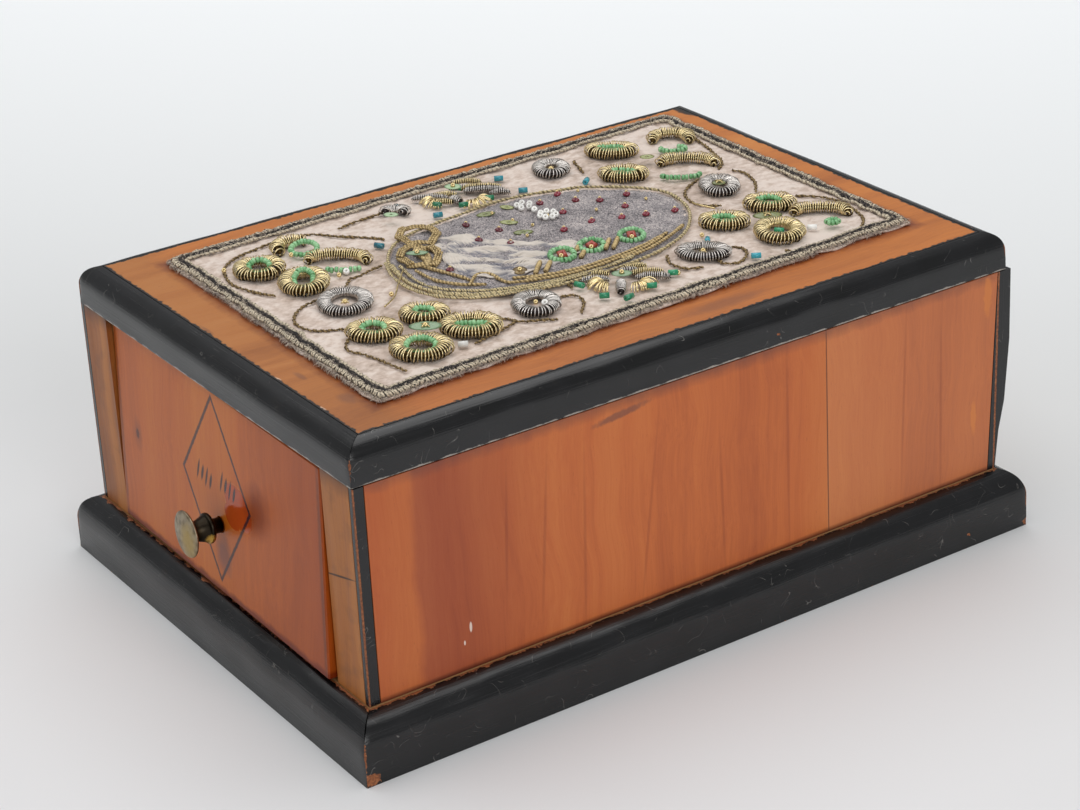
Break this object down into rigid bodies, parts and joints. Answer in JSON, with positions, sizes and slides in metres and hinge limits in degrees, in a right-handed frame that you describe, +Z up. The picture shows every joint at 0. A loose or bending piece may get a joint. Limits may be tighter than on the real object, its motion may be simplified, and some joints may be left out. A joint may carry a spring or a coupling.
{
  "type": "embroidered keepsake box",
  "caption": "Low rectangular keepsake box with a full-height end drawer, dark mouldings round base and top, and a metal-thread and bead embroidered cloth on its top.",
  "frame": {"origin": "centre of the base board's underside", "axes": "+Z up, +Y along the length towards the back, +X to the right as seen from the drawer; the drawer front faces -Y"},
  "size_m": [0.1912, 0.2658, 0.1104],
  "materials": {
    "top_wood": "worn shellac over orange-brown veneer",
    "side_wood": "worn shellac over reddish veneer with upright grain",
    "front_wood": "worn shellac over reddish veneer",
    "stile_wood": "worn shellac over light brown veneer",
    "plain_wood": "bare planed wood",
    "ebonised_wood": "black stained and polished, scratched",
    "brass": "dull, aged",
    "cloth": "stained cream cloth",
    "dark_thread": "twisted cream and dark thread",
    "grey_chenille": "grey chenille, matt",
    "gold_thread": "coiled gilt wire, tarnished",
    "silver_thread": "coiled silvered wire, tarnished",
    "green_beads": "opaque green glass beads"
  },
  "bodies": {
    "case": {"base_board": "plain_wood", "base_moulding_front": "ebonised_wood", "base_moulding_right": "ebonised_wood", "base_moulding_back": "ebonised_wood", "base_moulding_left": "ebonised_wood", "side_board_left": "plain_wood", "side_board_right": "plain_wood", "side_veneer_left": "side_wood", "side_veneer_right": "side_wood", "corner_strip_front_left": "ebonised_wood", "corner_strip_front_right": "ebonised_wood", "corner_strip_back_left": "ebonised_wood", "corner_strip_back_right": "ebonised_wood", "stile_left": "stile_wood", "stile_right": "stile_wood", "back_board": "plain_wood", "top_board": "top_wood", "top_moulding_front": "ebonised_wood", "top_moulding_right": "ebonised_wood", "top_moulding_back": "ebonised_wood", "top_moulding_left": "ebonised_wood", "cloth_panel": "cloth", "border_cord_outer": "dark_thread", "border_cord_inner": "dark_thread", "medallion_pad": "grey_chenille", "medallion_cord": "gold_thread", "petal_front_left_1": "gold_thread", "petal_front_left_2": "gold_thread", "petal_front_left_3": "gold_thread", "petal_front_left_4": "gold_thread", "petal_front_right_1": "gold_thread", "petal_front_right_2": "gold_thread", "petal_front_right_3": "gold_thread", "petal_front_right_4": "gold_thread", "petal_back_left_1": "gold_thread", "petal_back_left_2": "gold_thread", "petal_back_left_3": "gold_thread", "petal_back_left_4": "gold_thread", "petal_back_right_1": "gold_thread", "petal_back_right_2": "gold_thread", "petal_back_right_3": "gold_thread", "petal_back_right_4": "gold_thread", "silver_ring_1": "silver_thread", "silver_ring_2": "silver_thread", "silver_ring_3": "silver_thread", "silver_ring_4": "silver_thread", "silver_ring_5": "silver_thread", "silver_ring_6": "silver_thread", "side_flower_left": "silver_thread", "side_flower_right": "silver_thread", "bead_rosette_1": "green_beads", "bead_rosette_2": "green_beads", "bead_rosette_3": "green_beads"},
    "drawer": {"drawer_front": "front_wood", "drawer_side_left": "plain_wood", "drawer_side_right": "plain_wood", "drawer_bottom": "plain_wood", "drawer_back": "plain_wood", "drawer_knob": "brass"}
  },
  "joints": [
    {"name": "drawer_slide", "type": "slide", "parent": "case", "child": "drawer", "axis": [0, -1, 0], "range_m": [0, 0.19]}
  ]
}
